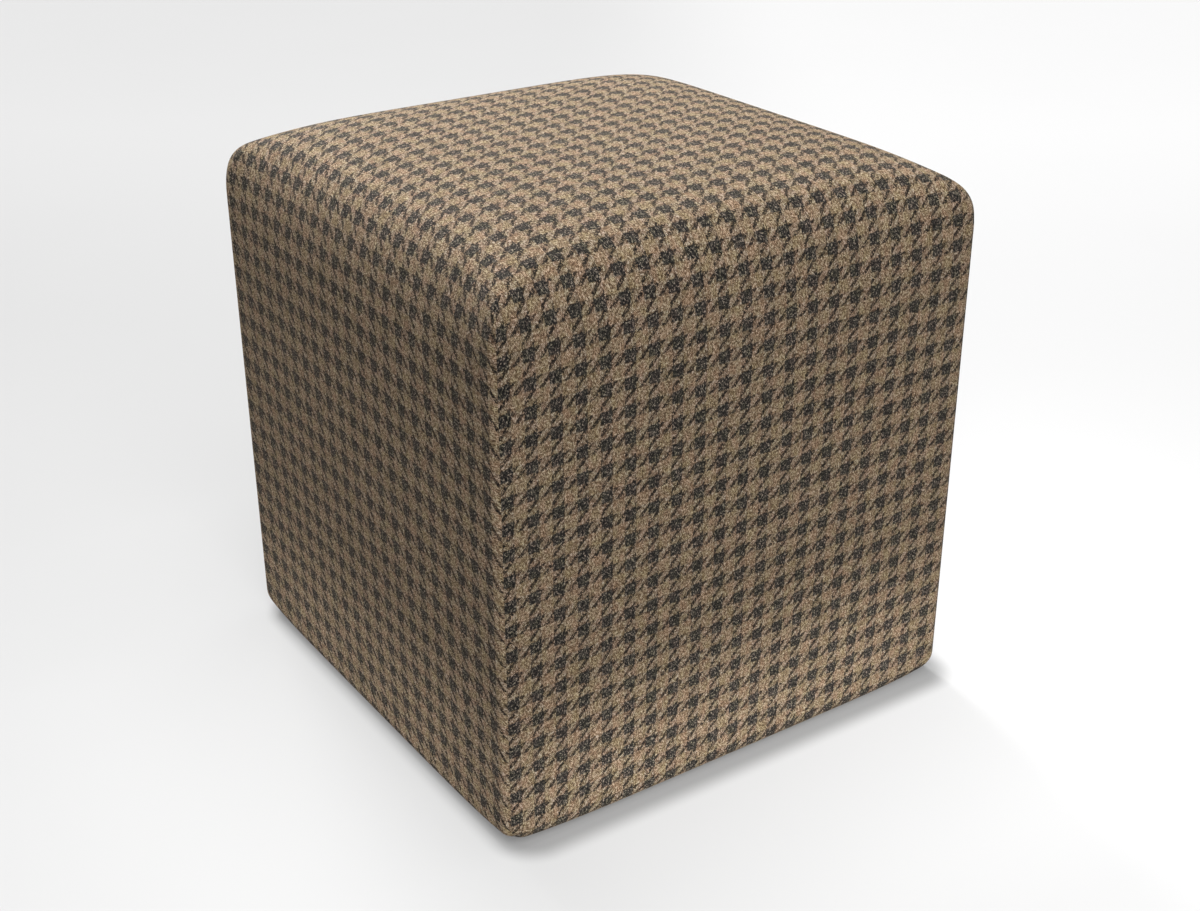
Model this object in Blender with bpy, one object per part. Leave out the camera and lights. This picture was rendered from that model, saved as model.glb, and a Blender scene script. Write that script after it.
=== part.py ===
"""Cube pouf stool: one filled, sewn body in houndstooth wool.

The cloth is cut as a plus: a square top with four side flaps that turn over
the rounded top edges.  The flaps meet in four upright corner seams, which
are drawn in a little.  The filling raises a broad crown on the top and
bellies the sides out softly; the bottom edge is turned under to a flat base.
"""
import math

import bpy

# Sizes in metres, +Z up, the flat base on z = 0.
WIDTH = 0.430
RIM_HEIGHT = 0.4315
CROWN = 0.0256
CROWN_POWER = 5.7
CORNER_RADIUS = 0.0120
SIDE_BELLY = 0.0018

# The rounded rim (how far it reaches in over the top, how far down the side,
# and its squareness) in the middle of a side, and tighter at its corners.
RIM_INSET = 0.0416
RIM_DROP = 0.0884
RIM_POWER = 3.0
RIM_CORNER_INSET = 0.0207
RIM_CORNER_DROP = 0.0338
RIM_CORNER_POWER = 2.6
EDGE_BLEND = 6.0

# The turned-under bottom edge, in the middle of a side and at its corners.
BASE_ROUND = 0.0130
BASE_CORNER_ROUND = 0.0215
BASE_POWER = 2.0

# The channel drawn in at each corner seam.
SEAM_DEPTH = 0.0012
SEAM_REACH = 0.0080
SEAM_FADE = 0.0400

# Mesh: steps from the middle of a side to its corner, and rings of each part.
HALF_STEPS = 14
RIM_STEPS = 8
SIDE_STEPS = 9
BASE_STEPS = 5
CORNER_CROWDING = 0.16

SIDE_LENGTH = 2 * HALF_STEPS
RING_LENGTH = 4 * SIDE_LENGTH


def between(middle, corner, ratio):
    """A size of an edge at a ratio along its side: it changes near the corner."""
    return middle + (corner - middle) * abs(ratio) ** EDGE_BLEND


def rounding(angle, inset_size, drop_size, power):
    """Distances of a rounded edge's point from the two faces it joins."""
    inset = inset_size * (1.0 - math.cos(angle) ** (2.0 / power))
    drop = drop_size * (1.0 - math.sin(angle) ** (2.0 / power))
    return inset, drop


def crown_height(x, y):
    """Height of the crown over the rim: broad and flat, steep at the edge."""
    across = min(abs(2.0 * x / WIDTH), 1.0) ** CROWN_POWER
    along = min(abs(2.0 * y / WIDTH), 1.0) ** CROWN_POWER
    return CROWN * (1.0 - across) * (1.0 - along)


def side_belly(z):
    """How far the middle of a side stands out at height z."""
    return SIDE_BELLY * math.sin(math.pi * min(z / RIM_HEIGHT, 1.0))


def seam_pull(ratio, half, z):
    """How far a corner seam draws the cloth in, along X and along Y."""
    reach = (1.0 - abs(ratio)) * half
    near = max(0.0, 1.0 - reach / SEAM_REACH) ** 2
    below_rim = min(max((RIM_HEIGHT - RIM_CORNER_DROP - z) / SEAM_FADE, 0.0), 1.0)
    above_base = min(z / SEAM_FADE, 1.0)
    return SEAM_DEPTH * near * below_rim * above_base / math.sqrt(2.0)


def section_point(inset, z, ratio):
    """Point of a rounded square section; ratio runs -1..1 along the -Y side."""
    half = 0.5 * WIDTH - inset
    straight = half - CORNER_RADIUS
    run = abs(ratio) * (straight + 0.25 * math.pi * CORNER_RADIUS)
    x = min(run, straight)
    y = -half
    if run > straight:
        turn = (run - straight) / CORNER_RADIUS
        x += CORNER_RADIUS * math.sin(turn)
        y += CORNER_RADIUS * (1.0 - math.cos(turn))
    y -= side_belly(z) * (1.0 - ratio * ratio)
    pull = seam_pull(ratio, half, z)
    return math.copysign(x - pull, ratio), y + pull


def rim_point(angle, ratio):
    """Point of the rounded rim under the crown."""
    inset, drop = rounding(angle, between(RIM_INSET, RIM_CORNER_INSET, ratio),
                           between(RIM_DROP, RIM_CORNER_DROP, ratio),
                           between(RIM_POWER, RIM_CORNER_POWER, ratio))
    z = RIM_HEIGHT - drop
    x, y = section_point(inset, z, ratio)
    return x, y, z + crown_height(x, y)


def side_point(share, ratio):
    """Point of the upright side, a share of the way from its top to its foot."""
    top = RIM_HEIGHT - between(RIM_DROP, RIM_CORNER_DROP, ratio)
    foot = between(BASE_ROUND, BASE_CORNER_ROUND, ratio)
    z = top + (foot - top) * share
    x, y = section_point(0.0, z, ratio)
    return x, y, z


def base_point(angle, ratio):
    """Point of the turned-under bottom edge, which is rounder at a corner."""
    size = between(BASE_ROUND, BASE_CORNER_ROUND, ratio)
    inset, z = rounding(angle, size, size, BASE_POWER)
    x, y = section_point(inset, z, ratio)
    return x, y, z


def ring_makers():
    """One function of the ratio for each ring, from the rim to the base."""
    quarter = 0.5 * math.pi
    rings = []
    for k in range(RIM_STEPS, 0, -1):
        rings.append((rim_point, quarter * k / RIM_STEPS))
    for k in range(SIDE_STEPS):
        rings.append((side_point, k / SIDE_STEPS))
    for k in range(BASE_STEPS + 1):
        rings.append((base_point, quarter * k / BASE_STEPS))
    return rings


def ring_ratios():
    """Ratios along one side, crowded towards the corner seams."""
    ratios = []
    for k in range(-HALF_STEPS, HALF_STEPS):
        t = k / HALF_STEPS
        ratios.append(t + CORNER_CROWDING * math.sin(math.pi * t) / math.pi)
    return ratios


def quarter_turned(point, turns):
    """The point turned about Z, so that one side serves for all four."""
    x, y, z = point
    for _ in range(turns):
        x, y = -y, x
    return x, y, z


def wall(verts, faces):
    """All rings from the rim down to the base, joined by quads."""
    ratios = ring_ratios()
    rings = ring_makers()
    for make_point, place in rings:
        for side in range(4):
            for ratio in ratios:
                verts.append(quarter_turned(make_point(place, ratio), side))
    for ring in range(len(rings) - 1):
        upper = ring * RING_LENGTH
        lower = upper + RING_LENGTH
        for k in range(RING_LENGTH):
            k_next = (k + 1) % RING_LENGTH
            faces.append((upper + k, lower + k, lower + k_next, upper + k_next))
    return len(rings)


def rim_places():
    """Grid place on the edge of a lid -> its index along a ring."""
    places = {}
    for k in range(SIDE_LENGTH):
        places[(k, 0)] = k
        places[(SIDE_LENGTH, k)] = SIDE_LENGTH + k
        places[(SIDE_LENGTH - k, SIDE_LENGTH)] = 2 * SIDE_LENGTH + k
        places[(0, SIDE_LENGTH - k)] = 3 * SIDE_LENGTH + k
    return places


def lid_point(ring, places, i, j, height_at):
    """Point of a lid's grid, on a straight line from the centre to the edge."""
    across = i - HALF_STEPS
    along = j - HALF_STEPS
    level = max(abs(across), abs(along))
    if level == 0:
        return 0.0, 0.0, height_at(0.0, 0.0)
    edge_i = across * HALF_STEPS / level + HALF_STEPS
    edge_j = along * HALF_STEPS / level + HALF_STEPS
    first = ring[places[(math.floor(edge_i), math.floor(edge_j))]]
    second = ring[places[(math.ceil(edge_i), math.ceil(edge_j))]]
    part = edge_i % 1.0 + edge_j % 1.0
    scale = level / HALF_STEPS
    x = scale * (first[0] + (second[0] - first[0]) * part)
    y = scale * (first[1] + (second[1] - first[1]) * part)
    return x, y, height_at(x, y)


def lid(verts, faces, start, height_at, faces_up):
    """Close the ring of verts that begins at start with a grid of quads."""
    places = rim_places()
    ring = verts[start:start + RING_LENGTH]
    index = {}
    for i in range(SIDE_LENGTH + 1):
        for j in range(SIDE_LENGTH + 1):
            if (i, j) in places:
                index[(i, j)] = start + places[(i, j)]
                continue
            index[(i, j)] = len(verts)
            verts.append(lid_point(ring, places, i, j, height_at))
    for i in range(SIDE_LENGTH):
        for j in range(SIDE_LENGTH):
            quad = (index[(i, j)], index[(i + 1, j)],
                    index[(i + 1, j + 1)], index[(i, j + 1)])
            faces.append(quad if faces_up else quad[::-1])


def body_mesh():
    """The closed skin of the whole pouf."""
    verts = []
    faces = []
    ring_count = wall(verts, faces)
    lid(verts, faces, 0, lambda x, y: RIM_HEIGHT + crown_height(x, y), True)
    lid(verts, faces, (ring_count - 1) * RING_LENGTH, lambda x, y: 0.0, False)
    mesh = bpy.data.meshes.new("pouf_body")
    mesh.from_pydata(verts, [], faces)
    mesh.update()
    mesh.shade_smooth()
    return mesh


def wool_material():
    """Tan and charcoal houndstooth wool, as the one tone they mix to."""
    material = bpy.data.materials.new("houndstooth_wool")
    material.use_nodes = True
    shader = material.node_tree.nodes["Principled BSDF"]
    shader.inputs["Base Color"].default_value = (0.235, 0.175, 0.120, 1.0)
    shader.inputs["Roughness"].default_value = 0.95
    shader.inputs["Metallic"].default_value = 0.0
    return material


def main():
    for item in list(bpy.data.objects):
        bpy.data.objects.remove(item, do_unlink=True)
    body = bpy.data.objects.new("pouf_body", body_mesh())
    body.data.materials.append(wool_material())
    bpy.context.scene.collection.objects.link(body)


main()
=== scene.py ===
import math

import bpy
import numpy as np
from mathutils import Matrix, Vector


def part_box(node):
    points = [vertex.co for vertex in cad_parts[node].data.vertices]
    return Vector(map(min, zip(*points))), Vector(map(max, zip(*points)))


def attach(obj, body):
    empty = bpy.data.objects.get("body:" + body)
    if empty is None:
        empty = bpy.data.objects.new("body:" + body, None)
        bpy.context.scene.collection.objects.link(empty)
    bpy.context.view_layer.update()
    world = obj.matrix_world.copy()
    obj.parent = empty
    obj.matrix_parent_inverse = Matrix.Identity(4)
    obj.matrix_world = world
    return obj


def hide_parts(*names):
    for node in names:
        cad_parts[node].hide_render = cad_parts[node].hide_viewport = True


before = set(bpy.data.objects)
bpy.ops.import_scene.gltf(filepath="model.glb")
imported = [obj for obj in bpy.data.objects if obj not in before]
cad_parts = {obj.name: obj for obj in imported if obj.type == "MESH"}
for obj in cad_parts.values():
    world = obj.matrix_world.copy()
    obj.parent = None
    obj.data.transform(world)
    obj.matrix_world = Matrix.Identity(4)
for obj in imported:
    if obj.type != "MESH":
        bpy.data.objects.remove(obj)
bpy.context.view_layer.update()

# --- Driving sizes, in metres; the overall size comes from the body part's box ---
BODY_NODE = "pouf_body"
LOW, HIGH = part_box(BODY_NODE)
SIDE_BELLY = 0.0018
CROWN = 0.0256
WIDTH = HIGH.x - LOW.x - 2.0 * SIDE_BELLY
RIM_HEIGHT = HIGH.z - CROWN
CROWN_POWER = 5.7
CORNER_RADIUS = 0.0120

# The rounded rim (how far it reaches in over the top, how far down the side,
# and its squareness) in the middle of a side, and tighter at its corners.
RIM_INSET = 0.0416
RIM_DROP = 0.0884
RIM_POWER = 3.0
RIM_CORNER_INSET = 0.0207
RIM_CORNER_DROP = 0.0338
RIM_CORNER_POWER = 2.6
EDGE_BLEND = 6.0

# The turned-under bottom edge, in the middle of a side and at its corners.
BASE_ROUND = 0.0130
BASE_CORNER_ROUND = 0.0215
BASE_POWER = 2.0

# The corner seams: a narrow channel that sets in a share of the way down the
# corner's rim, deepens over the fade's length and fades out again at the foot.
SEAM_DEPTH = 0.0010
SEAM_REACH = 0.0030
SEAM_FADE = 0.0300
SEAM_START = 0.4

# Mesh density: steps from the middle of a side to a corner, and the rings of
# each part. The rim's rings crowd towards its two ends (the spread says how
# much), and the steps towards the corners.
HALF_STEPS = 52
RIM_RINGS = 24
RING_SPREAD = 0.8
SIDE_RINGS = 64
BASE_RINGS = 10
CORNER_CROWDING = 0.55
SIDE_LENGTH = 2 * HALF_STEPS
RING_LENGTH = 4 * SIDE_LENGTH

# The cloth: the name of its coordinates, one repeat of the houndstooth, and
# where a dark check is centred.
CLOTH_MAP = "cloth"
REPEAT = 0.0200
CHECK_AT_U = -0.0095
CHECK_AT_V = -0.0099

# How the filling pulls the cloth: the top's is stretched and a little askew, as
# far as it reaches. Its length over the crown is summed in so many steps.
TOP_REACH = 0.190
TOP_STRETCH = 0.012
TOP_SKEW = 0.0124
ARC_STEPS = 48

# How far each flap's cloth is off true once it is past the rim's reach: along
# the side (all of it, more with each metre down, more to both ends, more at both
# ends the same way) and down the side (the same four), for -Y, +X, +Y and -X.
# The sides at +X and +Y don't show in the photograph, so theirs are guessed.
RIM_REACH = 0.060
FLAP_SETTLING = (
    # slide   lean     spread  bow      slip     slack   tilt     dip
    (0.0006, -0.0015, 0.0019, -0.0014, -0.0020, 0.0000, -0.0015, 0.0012),
    (-0.0004, 0.0060, 0.0025, 0.0010, -0.0015, 0.0030, 0.0010, 0.0016),
    (0.0005, -0.0080, 0.0020, -0.0020, -0.0020, 0.0010, -0.0008, 0.0012),
    (0.0001, 0.0090, 0.0038, 0.0037, -0.0022, 0.0066, 0.0006, 0.0018),
)

# --- Shape -------------------------------------------------------------------


def between(middle, corner, ratio):
    """A size of an edge at a ratio along its side: it changes near the corner."""
    return middle + (corner - middle) * np.abs(ratio) ** EDGE_BLEND


def rounding(angle, inset_size, drop_size, power):
    """Distances of a rounded edge's point from the two faces it joins."""
    inset = inset_size * (1.0 - np.maximum(np.cos(angle), 0.0) ** (2.0 / power))
    drop = drop_size * (1.0 - np.sin(angle) ** (2.0 / power))
    return inset, drop


def crown_height(x, y):
    """Height of the crown over the rim: broad and flat, steep at the edge."""
    across = np.minimum(np.abs(2.0 * x / WIDTH), 1.0) ** CROWN_POWER
    along = np.minimum(np.abs(2.0 * y / WIDTH), 1.0) ** CROWN_POWER
    return CROWN * (1.0 - across) * (1.0 - along)


def side_belly(z):
    """How far the middle of a side stands out at height z."""
    return SIDE_BELLY * np.sin(np.pi * np.minimum(z / RIM_HEIGHT, 1.0))


def seam_pull(ratio, half, z):
    """How far a corner seam draws the cloth in, along X and along Y."""
    reach = (1.0 - np.abs(ratio)) * half
    near = np.maximum(0.0, 1.0 - reach / SEAM_REACH) ** 2
    seam_top = RIM_HEIGHT - SEAM_START * RIM_CORNER_DROP
    below_rim = np.clip((seam_top - z) / SEAM_FADE, 0.0, 1.0)
    above_base = np.clip(z / SEAM_FADE, 0.0, 1.0)
    return SEAM_DEPTH * near * below_rim * above_base / math.sqrt(2.0)


def section_points(inset, z, ratio):
    """Points of a rounded square section on the -Y side, and their run from its middle."""
    half = 0.5 * WIDTH - inset
    straight = half - CORNER_RADIUS
    run = np.abs(ratio) * (straight + 0.25 * np.pi * CORNER_RADIUS)
    turn = np.maximum(run - straight, 0.0) / CORNER_RADIUS
    pull = seam_pull(ratio, half, z)
    x = np.minimum(run, straight) + CORNER_RADIUS * np.sin(turn) - pull
    y = -half + CORNER_RADIUS * (1.0 - np.cos(turn)) + pull
    y = y - side_belly(z) * (1.0 - ratio ** 2)
    return np.copysign(x, ratio), y, np.copysign(run, ratio)


def crowded(ratio):
    """A ratio of the way to a corner, moved so that even steps crowd towards it."""
    return ratio + CORNER_CROWDING * np.sin(np.pi * ratio) / np.pi


def wall_points():
    """Points (ring, place, xyz) and runs of the -Y side, from rim to base."""
    ratio = crowded(np.arange(-HALF_STEPS, HALF_STEPS + 1) / HALF_STEPS)
    quarter = 0.5 * np.pi
    points = []
    runs = []

    def add_ring(inset, z, lift=False):
        x, y, run = section_points(inset, z, ratio)
        height = z + (crown_height(x, y) if lift else 0.0)
        points.append(np.stack([x, y, np.broadcast_to(height, x.shape)], axis=1))
        runs.append(run)

    rim_inset = between(RIM_INSET, RIM_CORNER_INSET, ratio)
    rim_drop = between(RIM_DROP, RIM_CORNER_DROP, ratio)
    rim_power = between(RIM_POWER, RIM_CORNER_POWER, ratio)
    for k in range(RIM_RINGS):
        share = 1.0 - k / RIM_RINGS
        share -= RING_SPREAD * math.sin(2.0 * math.pi * share) / (2.0 * math.pi)
        inset, drop = rounding(quarter * share, rim_inset, rim_drop, rim_power)
        add_ring(inset, RIM_HEIGHT - drop, lift=True)
    top = RIM_HEIGHT - rim_drop
    foot = between(BASE_ROUND, BASE_CORNER_ROUND, ratio)
    for k in range(SIDE_RINGS):
        add_ring(0.0, top + (foot - top) * k / SIDE_RINGS)
    for k in range(BASE_RINGS + 1):
        inset, z = rounding(quarter * k / BASE_RINGS, foot, foot, BASE_POWER)
        add_ring(inset, z)
    return np.array(points), np.array(runs)


def ease(value, low, high):
    """Smooth step from 0 at low to 1 at high."""
    t = np.clip((value - low) / (high - low), 0.0, 1.0)
    return t * t * (3.0 - 2.0 * t)


def over_crown(first, second):
    """Length over the crown from a middle line to coordinate first, at the other one."""
    places = np.abs(first)[..., None] * (np.arange(ARC_STEPS) + 0.5) / ARC_STEPS
    fall = 1.0 - np.abs(2.0 * second / WIDTH) ** CROWN_POWER
    slope = CROWN * CROWN_POWER * 2.0 / WIDTH * (2.0 * places / WIDTH) ** (CROWN_POWER - 1.0)
    stretch = np.sqrt(1.0 + (slope * fall[..., None]) ** 2)
    return first * stretch.mean(axis=-1)


def top_cloth(places):
    """Cloth coordinates of points (x, y) of the top."""
    x = places[..., 0]
    y = places[..., 1]
    return pulled(np.stack([over_crown(x, y), over_crown(y, x)], axis=-1))


def pulled(cloth):
    """The stretch and skew of the top's cloth, which the flaps hang from."""
    near = np.clip(cloth, -TOP_REACH, TOP_REACH)
    u_shift = -TOP_STRETCH * near[..., 0]
    v_shift = TOP_SKEW * near[..., 0] - TOP_STRETCH * near[..., 1]
    return cloth + np.stack([u_shift, v_shift], axis=-1)


def settled(u, v, settling):
    """Cloth coordinates of a flap once it hangs over its rim."""
    slide, lean, spread, bow, slip, slack, tilt, dip = settling
    below = np.maximum(-v - TOP_REACH, 0.0)
    over = ease(below, 0.0, RIM_REACH)
    t = u / TOP_REACH
    u_shift = over * (slide + spread * t + bow * t ** 2) + lean * below
    v_shift = over * (slip + tilt * t + dip * t ** 2) + slack * below
    return np.stack([u + u_shift, v + v_shift], axis=-1)


def wall_cloth(points, runs, turns):
    """Cloth coordinates (ring, place, uv) of one side's flap."""
    # The way down the cloth, ring by ring, seen from the end of the side.
    steps = np.linalg.norm(np.diff(points[..., 1:], axis=0), axis=2)
    below = np.concatenate([np.zeros((1, len(runs[0]))), np.cumsum(steps, axis=0)])
    edge = points[0]
    # Over the rim, the crown's longer way gives way to the side's plain run.
    rim_place = np.clip(np.arange(len(points)) / RIM_RINGS, 0.0, 1.0)
    fade = ((1.0 - rim_place) ** 2)[:, None]
    u = runs + fade * (over_crown(edge[:, 0], edge[:, 1]) - runs[0])
    v = over_crown(edge[:, 1], edge[:, 0]) - below
    return pulled(quarter_turned(settled(u, v, FLAP_SETTLING[turns]), turns))


def quarter_turned(pairs, turns):
    """Pairs (x, y) turned about Z, so that one side serves for all four."""
    for _ in range(turns):
        pairs = np.stack([-pairs[..., 1], pairs[..., 0]], axis=-1)
    return pairs


# --- Mesh --------------------------------------------------------------------


def rim_places():
    """Grid place on the edge of a lid -> its index along a ring."""
    places = {}
    for k in range(SIDE_LENGTH):
        places[(k, 0)] = k
        places[(SIDE_LENGTH, k)] = SIDE_LENGTH + k
        places[(SIDE_LENGTH - k, SIDE_LENGTH)] = 2 * SIDE_LENGTH + k
        places[(0, SIDE_LENGTH - k)] = 3 * SIDE_LENGTH + k
    return places


def lid_place(ring, places, i, j):
    """(x, y) of a grid point, on a straight line from the centre to the edge."""
    across = i - HALF_STEPS
    along = j - HALF_STEPS
    level = max(abs(across), abs(along))
    if level == 0:
        return 0.0, 0.0
    edge_i = across * HALF_STEPS / level + HALF_STEPS
    edge_j = along * HALF_STEPS / level + HALF_STEPS
    first = ring[places[(math.floor(edge_i), math.floor(edge_j))]]
    second = ring[places[(math.ceil(edge_i), math.ceil(edge_j))]]
    part = edge_i % 1.0 + edge_j % 1.0
    scale = crowded(level / HALF_STEPS)
    return (scale * (first[0] + (second[0] - first[0]) * part),
            scale * (first[1] + (second[1] - first[1]) * part))


class Skin:
    """Collects vertices, faces and each face corner's cloth coordinates."""

    def __init__(self):
        self.verts = []
        self.faces = []
        self.corners = []

    def add_walls(self, points, runs):
        """The four sides, from one side's points: quads between its rings."""
        for row in points:
            for turns in range(4):
                level = quarter_turned(row[:-1, :2], turns)
                for (x, y), z in zip(level, row[:-1, 2]):
                    self.verts.append((x, y, z))
        for turns in range(4):
            uv = wall_cloth(points, runs, turns)
            for ring in range(len(points) - 1):
                for k in range(SIDE_LENGTH):
                    place = turns * SIDE_LENGTH + k
                    after = (place + 1) % RING_LENGTH
                    upper = ring * RING_LENGTH
                    lower = upper + RING_LENGTH
                    self.faces.append((upper + place, lower + place,
                                       lower + after, upper + after))
                    self.corners.extend((uv[ring, k], uv[ring + 1, k],
                                         uv[ring + 1, k + 1], uv[ring, k + 1]))

    def add_lid(self, start, height_at, cloth_at, faces_up):
        """A grid of quads that closes the ring of vertices that begins at start."""
        places = rim_places()
        ring = self.verts[start:start + RING_LENGTH]
        index = {}
        for i in range(SIDE_LENGTH + 1):
            for j in range(SIDE_LENGTH + 1):
                if (i, j) in places:
                    index[(i, j)] = start + places[(i, j)]
                    continue
                x, y = lid_place(ring, places, i, j)
                index[(i, j)] = len(self.verts)
                self.verts.append((x, y, float(height_at(x, y))))
        uv = cloth_at(np.array(self.verts)[:, :2])
        for i in range(SIDE_LENGTH):
            for j in range(SIDE_LENGTH):
                quad = (index[(i, j)], index[(i + 1, j)],
                        index[(i + 1, j + 1)], index[(i, j + 1)])
                if not faces_up:
                    quad = quad[::-1]
                self.faces.append(quad)
                self.corners.extend(uv[k] for k in quad)

    def to_object(self, name):
        mesh = bpy.data.meshes.new(name)
        mesh.from_pydata(self.verts, [], self.faces)
        layer = mesh.uv_layers.new(name=CLOTH_MAP)
        layer.uv.foreach_set("vector", np.array(self.corners, dtype=np.float32).ravel())
        mesh.update()
        mesh.shade_smooth()
        item = bpy.data.objects.new(name, mesh)
        bpy.context.scene.collection.objects.link(item)
        return item


def make_pouf():
    """The sewn and filled body."""
    points, runs = wall_points()
    last_ring = (len(points) - 1) * RING_LENGTH
    skin = Skin()
    skin.add_walls(points, runs)
    skin.add_lid(0, lambda x, y: RIM_HEIGHT + crown_height(x, y), top_cloth, True)
    skin.add_lid(last_ring, lambda x, y: 0.0, lambda places: places, False)
    return skin.to_object("pouf_cover")


# --- Cloth -------------------------------------------------------------------

# Threads to one repeat, and the motif: the dark share of a repeat, where the
# slanted bands of the teeth lie and how much thinner they are on each side
# (both as shares of their spacing), and how soft the edges are.
WARP_THREADS = 32.0
WEFT_THREADS = 23.0
DARK_SHARE = 0.484
BAND_PHASE = 0.439
BAND_THINNING = 0.045
EDGE_SOFTNESS = 0.018
MATCH_SOFTNESS = 0.002

# The weave: threads to one repeat of the twill, and how far a yarn falls off
# from its middle to its edges, as a share of its height.
TWILL_THREADS = 4.0
YARN_FALL = 0.8

# Kinds of unevenness, as noise over the threads: the slice through the noise,
# its scale to one thread, its detail and its roughness.
FUZZ = (0.0, 0.90, 3.0, 0.65)
WEAR = (9.0, 0.24, 2.0, 0.60)
CLUMPS = (5.0, 0.42, 2.0, 0.60)
HUES = (3.0, 0.10, 2.0, 0.40)

# How far they go: the stray of the motif's edges in repeats, the fraying of the
# teeth as a share of their bands' spacing, and the spread of the fibres' tones
# from crossing to crossing and from clump to clump.
STRAY = 0.14
FRAYING = 0.26
GRAIN = 0.72
CLUMPING = 1.5

# The threads' wander over the whole cloth, in repeats, and its noise's scale,
# detail and roughness.
WANDER = 0.07
WANDER_NOISE = (9.0, 2.0, 0.5)

# Colours of the two yarns from their darkest fibres to their lightest, the
# melange's tints, and how each yarn is tinged where it crosses the other.
TAN_YARNS = (
    (0.08, (0.060, 0.037, 0.021)),
    (0.30, (0.122, 0.081, 0.048)),
    (0.50, (0.199, 0.141, 0.087)),
    (0.70, (0.277, 0.207, 0.134)),
    (0.92, (0.426, 0.350, 0.252)),
)
DARK_YARNS = (
    (0.08, (0.0042, 0.0040, 0.0042)),
    (0.38, (0.0130, 0.0126, 0.0122)),
    (0.60, (0.0350, 0.0325, 0.0290)),
    (0.78, (0.086, 0.074, 0.060)),
    (0.94, (0.260, 0.222, 0.176)),
)
MELANGE = (
    (0.34, (1.07, 0.98, 0.98)),
    (0.50, (1.00, 1.00, 1.00)),
    (0.66, (0.98, 1.00, 0.90)),
)
TAN_CROSSED = (0.93, 0.97, 1.06, 1.0)
DARK_CROSSED = (1.26, 1.09, 0.94, 1.0)

# Painted shade between the yarns: the share of the colour kept in the gaps and how
# much more on top of the yarns; the roughness of the darkest fibres and how much
# more the lightest have, and how much the fibres stand up beside the yarns.
GAP_PAINTED_SHADE_LEVEL = 0.48
YARN_PAINTED_SHADE_GAIN = 0.50
ROUGHNESS = 0.84
ROUGHNESS_GAIN = 0.12
FIBRE_RELIEF = 0.9


class Graph:
    """Short names for the nodes of one material."""

    def __init__(self, name):
        self.material = bpy.data.materials.new(name)
        self.material.use_nodes = True
        self.tree = self.material.node_tree
        self.shader = self.tree.nodes["Principled BSDF"]

    def node(self, kind, **settings):
        made = self.tree.nodes.new(kind)
        for key, value in settings.items():
            setattr(made, key, value)
        return made

    def plug(self, socket, value):
        """Link an output to the socket, or set the socket to a constant."""
        if isinstance(value, bpy.types.NodeSocket):
            self.tree.links.new(value, socket)
        else:
            socket.default_value = value

    def math(self, operation, *values):
        made = self.node("ShaderNodeMath", operation=operation)
        for socket, value in zip(made.inputs, values):
            self.plug(socket, value)
        return made.outputs[0]

    def around(self, middle, value, spread):
        """A value from 0 to 1, spread evenly to both sides of the middle."""
        return self.math("MULTIPLY_ADD", value, spread, middle - 0.5 * spread)

    def soft_step(self, value, low, high):
        made = self.node("ShaderNodeMapRange", interpolation_type="SMOOTHSTEP")
        self.plug(made.inputs["Value"], value)
        self.plug(made.inputs["From Min"], low)
        self.plug(made.inputs["From Max"], high)
        return made.outputs["Result"]

    def mix(self, factor, first, second):
        made = self.node("ShaderNodeMix", data_type="FLOAT")
        self.plug(made.inputs[0], factor)
        self.plug(made.inputs[2], first)
        self.plug(made.inputs[3], second)
        return made.outputs[0]

    def mix_colour(self, factor, first, second, blend="MIX"):
        made = self.node("ShaderNodeMix", data_type="RGBA", blend_type=blend)
        self.plug(made.inputs[0], factor)
        self.plug(made.inputs[6], first)
        self.plug(made.inputs[7], second)
        return made.outputs[2]

    def multiply_colour(self, first, second):
        return self.mix_colour(1.0, first, second, "MULTIPLY")

    def vector(self, x, y, z=0.0):
        made = self.node("ShaderNodeCombineXYZ")
        for socket, value in zip(made.inputs, (x, y, z)):
            self.plug(socket, value)
        return made.outputs[0]

    def split(self, vector):
        """The X, Y and Z of a vector."""
        made = self.node("ShaderNodeSeparateXYZ")
        self.plug(made.inputs[0], vector)
        return made.outputs

    def noise(self, place, scale, detail, roughness, dimensions="3D"):
        """The node of a noise, whose outputs are Fac and Color."""
        made = self.node("ShaderNodeTexNoise", noise_dimensions=dimensions)
        self.plug(made.inputs["Vector"], place)
        made.inputs["Scale"].default_value = scale
        made.inputs["Detail"].default_value = detail
        made.inputs["Roughness"].default_value = roughness
        return made

    def ramp(self, value, stops):
        made = self.node("ShaderNodeValToRGB")
        self.plug(made.inputs[0], value)
        elements = made.color_ramp.elements
        while len(elements) < len(stops):
            elements.new(0.5)
        for element, (place, colour) in zip(elements, stops):
            element.position = place
            element.color = (*colour, 1.0)
        return made.outputs[0]


def cloth_place(g):
    """Cloth coordinates in repeats from a dark check's centre, with a little wander."""
    uv = g.node("ShaderNodeUVMap", uv_map=CLOTH_MAP).outputs[0]
    metres = g.split(uv)
    wander = g.noise(uv, *WANDER_NOISE, dimensions="2D")
    shift = g.node("ShaderNodeSeparateColor")
    g.plug(shift.inputs[0], wander.outputs["Color"])
    place = []
    for axis, origin in ((0, CHECK_AT_U), (1, CHECK_AT_V)):
        straight = g.math("MULTIPLY_ADD", metres[axis], 1.0 / REPEAT, -origin / REPEAT)
        place.append(g.math("ADD", straight, g.around(0.0, shift.outputs[axis], WANDER)))
    return place


def unevenness(g, a, b, kind):
    """One kind of unevenness over the threads, from 0 to 1."""
    layer, scale, detail, roughness = kind
    return g.noise(g.vector(a, b, layer), scale, detail, roughness).outputs["Fac"]


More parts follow.
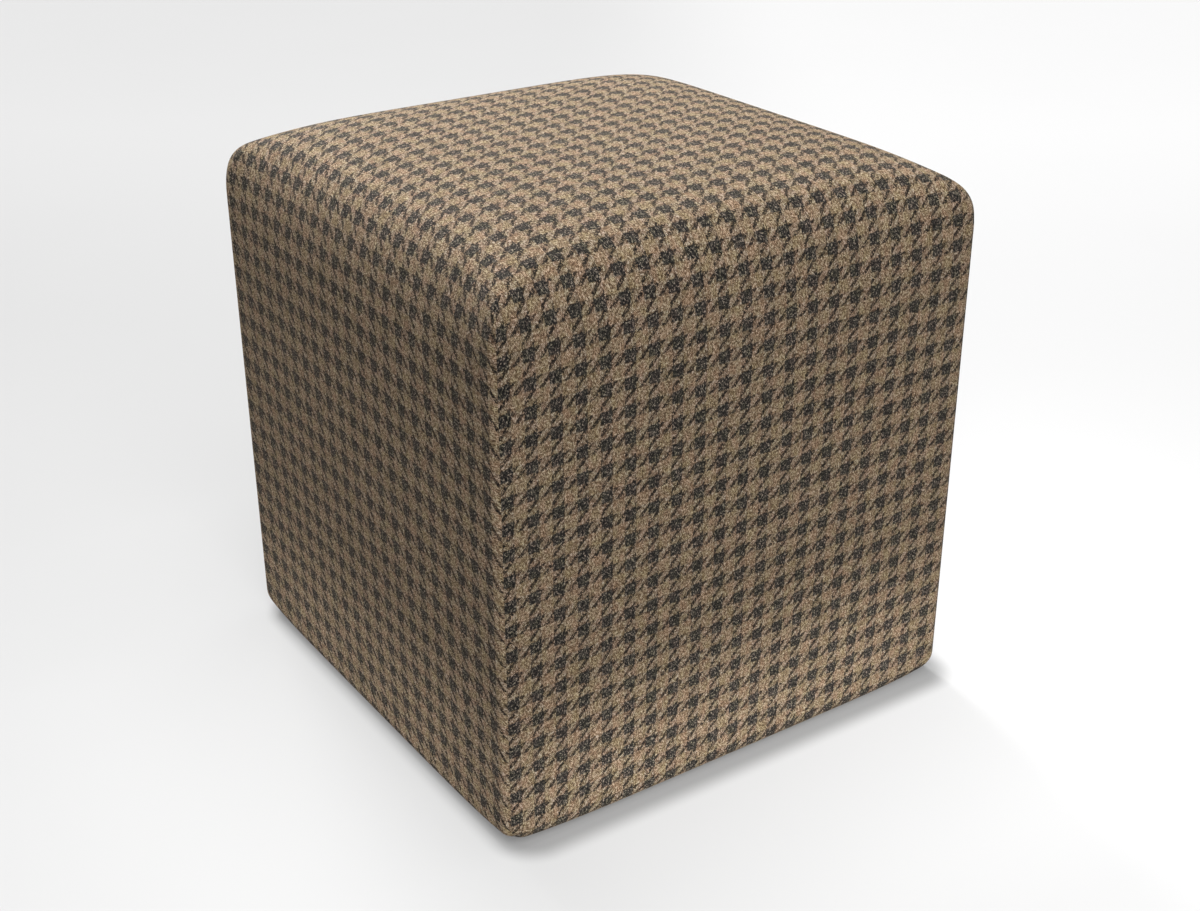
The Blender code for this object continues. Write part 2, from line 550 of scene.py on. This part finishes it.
def twill(g, a, b):
    """Height of the 2/2 twill's yarns, 0 to 1."""
    column = g.math("FLOOR", a)
    row = g.math("FLOOR", b)
    half = 0.5 * TWILL_THREADS
    crossing = g.math("FLOORED_MODULO", g.math("ADD", column, row), TWILL_THREADS)
    warp_up = g.math("LESS_THAN", crossing, half - 0.5)
    heights = []
    for across, along, other, shift in ((a, b, column, 0.0), (b, a, row, half)):
        place = g.math("SUBTRACT", g.math("ADD", along, other), shift)
        float_place = g.math("FLOORED_MODULO", place, TWILL_THREADS)
        rise = g.math("SINE", g.math("MULTIPLY", float_place, math.pi / half))
        off_middle = g.math("SUBTRACT", g.math("FRACT", across), 0.5)
        squared = g.math("MULTIPLY", off_middle, off_middle)
        round_yarn = g.math("MULTIPLY_ADD", squared, -4.0 * YARN_FALL, 1.0)
        heights.append(g.math("MULTIPLY", g.math("MAXIMUM", rise, 0.0), round_yarn))
    return g.mix(warp_up, heights[1], heights[0])


def distance_to_stripe(g, value):
    """Signed distance in repeats to the edge of the dark stripe, positive inside."""
    folded = g.math("PINGPONG", value, 0.5)
    return g.math("SUBTRACT", 0.5 * DARK_SHARE, folded)


def houndstooth(g, u, v, half_band):
    """1 on the dark checks and their teeth, and 1 where both threads match.

    A tooth is a slanted band, half_band wide to each side of its middle, within
    the dark stripe of one thread system.  The warp's bands and the weft's take
    turns, a quarter and three quarters of the way through their spacing.
    """
    in_warp = distance_to_stripe(g, u)
    in_weft = distance_to_stripe(g, v)
    slant = g.math("MULTIPLY_ADD", g.math("SUBTRACT", u, v), 2.0, BAND_PHASE)
    teeth = []
    for stripe, middle in ((in_warp, 0.25), (in_weft, 0.75)):
        from_middle = g.math("PINGPONG", g.math("SUBTRACT", slant, middle), 0.5)
        inside = g.math("SUBTRACT", half_band, from_middle)
        across_band = g.math("MULTIPLY", inside, 0.5 / math.sqrt(2.0))
        teeth.append(g.math("MINIMUM", stripe, across_band))
    check = g.math("MINIMUM", in_warp, in_weft)
    dark = g.math("MAXIMUM", check, g.math("MAXIMUM", *teeth))
    alike = g.math("MULTIPLY", in_warp, in_weft)
    return (g.soft_step(dark, -EDGE_SOFTNESS, EDGE_SOFTNESS),
            g.soft_step(alike, -MATCH_SOFTNESS, MATCH_SOFTNESS))


def woven_motif(g, a, b):
    """The houndstooth, half stepped from thread to thread and frayed by the nap."""
    stray = g.around(0.0, unevenness(g, a, b, FUZZ), STRAY)
    stepped = []
    for fine, threads in ((a, WARP_THREADS), (b, WEFT_THREADS)):
        thread = g.math("ADD", g.math("FLOOR", fine), 0.5)
        middle = g.math("MULTIPLY", g.math("ADD", thread, fine), 0.5)
        stepped.append(g.math("MULTIPLY_ADD", middle, 1.0 / threads, stray))
    half_band = g.around(0.25 - BAND_THINNING, unevenness(g, a, b, WEAR), FRAYING)
    return houndstooth(g, *stepped, half_band)


def fibre_tone(g, a, b):
    """Tone of the fibres: each crossing has its own, and loose clumps blur them."""
    own = g.node("ShaderNodeTexWhiteNoise", noise_dimensions="2D")
    g.plug(own.inputs["Vector"], g.vector(g.math("FLOOR", a), g.math("FLOOR", b)))
    grain = g.around(0.0, own.outputs["Value"], GRAIN)
    clump = g.around(0.5, unevenness(g, a, b, CLUMPS), CLUMPING)
    return g.math("ADD", clump, grain)


def wool_cloth():
    """Twill-woven wool, tan and charcoal, with mixed fibres and a short nap."""
    g = Graph("houndstooth_wool_cloth")
    u, v = cloth_place(g)
    a = g.math("MULTIPLY", u, WARP_THREADS)
    b = g.math("MULTIPLY", v, WEFT_THREADS)
    height = twill(g, a, b)
    dark, alike = woven_motif(g, a, b)
    fibre = fibre_tone(g, a, b)
    colour = g.mix_colour(dark, g.ramp(fibre, TAN_YARNS), g.ramp(fibre, DARK_YARNS))

    # Melange: patches of warmer and greener wool.
    colour = g.multiply_colour(colour, g.ramp(unevenness(g, a, b, HUES), MELANGE))

    # Where dark threads cross light ones, each shows through the other a little.
    through = g.mix_colour(dark, TAN_CROSSED, DARK_CROSSED)
    crossed = g.math("SUBTRACT", 1.0, alike)
    colour = g.mix_colour(crossed, colour, g.multiply_colour(colour, through))

    # Painted shade: the colour is darkened between the yarns, where shade falls in the
    # grooves.
    shade = g.math("MULTIPLY_ADD", height, YARN_PAINTED_SHADE_GAIN, GAP_PAINTED_SHADE_LEVEL)
    colour = g.multiply_colour(colour, g.vector(shade, shade, shade))
    g.plug(g.shader.inputs["Base Color"], colour)

    rough = g.math("MULTIPLY_ADD", fibre, ROUGHNESS_GAIN, ROUGHNESS)
    g.plug(g.shader.inputs["Roughness"], rough)
    g.shader.inputs["Specular IOR Level"].default_value = 0.05
    g.shader.inputs["Sheen Weight"].default_value = 0.03
    g.shader.inputs["Sheen Tint"].default_value = (1.0, 0.80, 0.60, 1.0)
    g.shader.inputs["Sheen Roughness"].default_value = 0.55

    bump = g.node("ShaderNodeBump")
    bump.inputs["Strength"].default_value = 0.55
    bump.inputs["Distance"].default_value = 0.0006
    g.plug(bump.inputs["Height"], g.math("MULTIPLY_ADD", fibre, FIBRE_RELIEF, height))
    g.plug(g.shader.inputs["Normal"], bump.outputs[0])
    return g.material


# --- Floor -------------------------------------------------------------------

# The floor lies a hair below the base, and its tone is a little mottled, by a
# noise of this scale, detail and roughness.
FLOOR_SIZE = 16.0
FLOOR_GAP = 0.0003
FLOOR_TONE = 0.20
FLOOR_MOTTLE = 0.01
FLOOR_MOTTLE_NOISE = (3.0, 2.0, 0.5)

# The floor's own glow, as on a light table: each row is a direction over the
# floor, where along it the glow sets in and is full, and how much it adds.
AWAY = (0.56, 0.83)
RIGHTWARD = (0.83, -0.56)
FLOOR_GLOW = (
    (AWAY, (-1.20, -0.45), 0.480),
    (AWAY, (0.60, 1.80), 0.110),
    (RIGHTWARD, (-0.10, 0.50), 0.140),
)

# The narrow painted shadow at the foot, a dimming painted into the floor's glow:
# how much of the glow it takes, how far it is moved from the footprint (to the
# right and front), where beyond its edge it is deepest and ends, and how round
# its corners are.
FOOT_PAINTED_SHADOW = 0.75
FOOT_PAINTED_SHADOW_SHIFT = (0.006, -0.008)
FOOT_PAINTED_SHADOW_REACH = (-0.004, 0.018)
FOOT_PAINTED_SHADOW_ROUND = 0.025


def floor_glow(g, place):
    """Strength of the floor's glow away from the foot."""
    glow = 0.0
    for (along_x, along_y), (start, end), gain in FLOOR_GLOW:
        from_y = g.math("MULTIPLY", place[1], along_y)
        reach = g.math("MULTIPLY_ADD", place[0], along_x, from_y)
        glow = g.math("MULTIPLY_ADD", g.soft_step(reach, start, end), gain, glow)
    return glow


def glow_left_by_painted_shadow(g, place):
    """The share of the glow that the painted shadow at the foot leaves, 1 away from it."""
    beyond = []
    for coordinate, shift in zip(place, FOOT_PAINTED_SHADOW_SHIFT):
        away = g.math("ABSOLUTE", g.math("SUBTRACT", coordinate, shift))
        past = g.math("SUBTRACT", away, 0.5 * WIDTH - FOOT_PAINTED_SHADOW_ROUND)
        outside = g.math("MAXIMUM", past, 0.0)
        beyond.append(g.math("MULTIPLY", outside, outside))
    from_inner = g.math("SQRT", g.math("ADD", *beyond))
    distance = g.math("SUBTRACT", from_inner, FOOT_PAINTED_SHADOW_ROUND)
    lit = g.soft_step(distance, *FOOT_PAINTED_SHADOW_REACH)
    return g.math("MULTIPLY_ADD", lit, FOOT_PAINTED_SHADOW, 1.0 - FOOT_PAINTED_SHADOW)


def floor_material():
    """Pale and matt, glowing by itself as on a light table, with a painted shadow at the
    foot.
    """
    g = Graph("pale_floor")
    point = g.node("ShaderNodeTexCoord").outputs["Object"]
    mottle = g.noise(point, *FLOOR_MOTTLE_NOISE).outputs["Fac"]
    tone = g.math("MULTIPLY_ADD", mottle, FLOOR_MOTTLE, FLOOR_TONE)
    g.plug(g.shader.inputs["Base Color"], g.vector(tone, tone, tone))
    g.shader.inputs["Roughness"].default_value = 0.9
    g.shader.inputs["Specular IOR Level"].default_value = 0.1
    place = g.split(point)
    # The glow, dimmed near the foot by a painted shadow.
    glow = g.math("MULTIPLY", floor_glow(g, place), glow_left_by_painted_shadow(g, place))
    g.shader.inputs["Emission Color"].default_value = (1.0, 1.0, 1.0, 1.0)
    g.plug(g.shader.inputs["Emission Strength"], glow)
    return g.material


def make_floor():
    """A large level square under the pouf."""
    half = 0.5 * FLOOR_SIZE
    corners = [(-half, -half, 0.0), (half, -half, 0.0), (half, half, 0.0), (-half, half, 0.0)]
    mesh = bpy.data.meshes.new("studio_floor")
    mesh.from_pydata(corners, [], [(0, 1, 2, 3)])
    mesh.materials.append(floor_material())
    floor = bpy.data.objects.new("studio_floor", mesh)
    floor.location.z = -FLOOR_GAP
    bpy.context.scene.collection.objects.link(floor)


# --- Light -------------------------------------------------------------------

# Soft boxes: place, point faced, width and length, power, and spread in
# degrees. The two low strips lighten the lower part of the sides that show.
SOFT_BOXES = {
    "overhead": ((0.1, 0.1, 1.6), (0.1, 0.1, 0.0), (1.0, 1.0), 24.4, 180.0),
    "behind": ((0.2, 1.6, 1.3), (0.05, 0.15, 0.45), (1.0, 0.4), 3.9, 30.0),
    "low_right": ((0.0, -0.56, 0.04), (0.0, 0.0, 0.02), (0.42, 0.03), 0.181, 40.0),
    "low_left": ((-0.56, 0.0, 0.04), (0.0, 0.0, 0.02), (0.42, 0.03), 0.076, 40.0),
}

# Patches of studio sky, all of one width in degrees: the direction each is seen
# in, and its power.
SKY_WIDTH = 60.0
SKY_PATCHES = {
    "sky_right": ((0.45, -0.80, 0.75), 0.67),
    "sky_left": ((-0.45, -0.80, 0.75), 4.42),
}
WORLD_LIGHT = 0.02


def hang(data, name, place, toward):
    """Put a light in the scene, facing from its place toward a point."""
    lamp = bpy.data.objects.new(name, data)
    lamp.location = place
    lamp.rotation_euler = (Vector(toward) - Vector(place)).to_track_quat("-Z", "Y").to_euler()
    lamp.visible_camera = False
    bpy.context.scene.collection.objects.link(lamp)


def make_light():
    """A faint even world, soft boxes and patches of sky."""
    world = bpy.data.worlds.new("studio")
    world.use_nodes = True
    background = world.node_tree.nodes["Background"]
    background.inputs["Color"].default_value = (1.0, 1.0, 1.0, 1.0)
    background.inputs["Strength"].default_value = WORLD_LIGHT
    bpy.context.scene.world = world
    for name, (place, toward, size, power, spread) in SOFT_BOXES.items():
        data = bpy.data.lights.new(name, "AREA")
        data.shape = "RECTANGLE"
        data.size, data.size_y = size
        data.spread = math.radians(spread)
        data.energy = power
        hang(data, name, place, toward)
    for name, (direction, power) in SKY_PATCHES.items():
        data = bpy.data.lights.new(name, "SUN")
        data.angle = math.radians(SKY_WIDTH)
        data.energy = power
        hang(data, name, direction, (0.0, 0.0, 0.0))


# --- Camera ------------------------------------------------------------------

# The photograph's view, found from its perspective and outline: angles in
# degrees, distances in metres, lens and sensor in millimetres.
CAMERA_AZIMUTH = -34.25
CAMERA_ELEVATION = 26.08
CAMERA_ROLL = -0.16
CAMERA_DISTANCE = 1.4462
CAMERA_TARGET = (0.0120, 0.0, 0.1763)
CAMERA_LENS = 51.18
SENSOR_WIDTH = 36.0
CLIP_NEAR = 0.05
CLIP_FAR = 60.0


def make_camera():
    """The camera, and the plain view transform that its picture needs."""
    azimuth = math.radians(CAMERA_AZIMUTH)
    elevation = math.radians(CAMERA_ELEVATION)
    back = Vector((math.sin(azimuth) * math.cos(elevation),
                   -math.cos(azimuth) * math.cos(elevation),
                   math.sin(elevation)))
    data = bpy.data.cameras.new("camera")
    data.sensor_width = SENSOR_WIDTH
    data.lens = CAMERA_LENS
    data.clip_start = CLIP_NEAR
    data.clip_end = CLIP_FAR
    camera = bpy.data.objects.new("camera", data)
    place = Matrix.Translation(Vector(CAMERA_TARGET) + back * CAMERA_DISTANCE)
    turn = (-back).to_track_quat("-Z", "Y").to_matrix().to_4x4()
    roll = Matrix.Rotation(math.radians(CAMERA_ROLL), 4, "Z")
    camera.matrix_world = place @ turn @ roll
    bpy.context.scene.collection.objects.link(camera)
    bpy.context.scene.camera = camera
    bpy.context.scene.view_settings.view_transform = "Standard"


# --- Assembly ----------------------------------------------------------------

pouf = make_pouf()
pouf.data.materials.append(wool_cloth())
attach(pouf, "root")
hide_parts(BODY_NODE)
make_floor()
make_light()
make_camera()
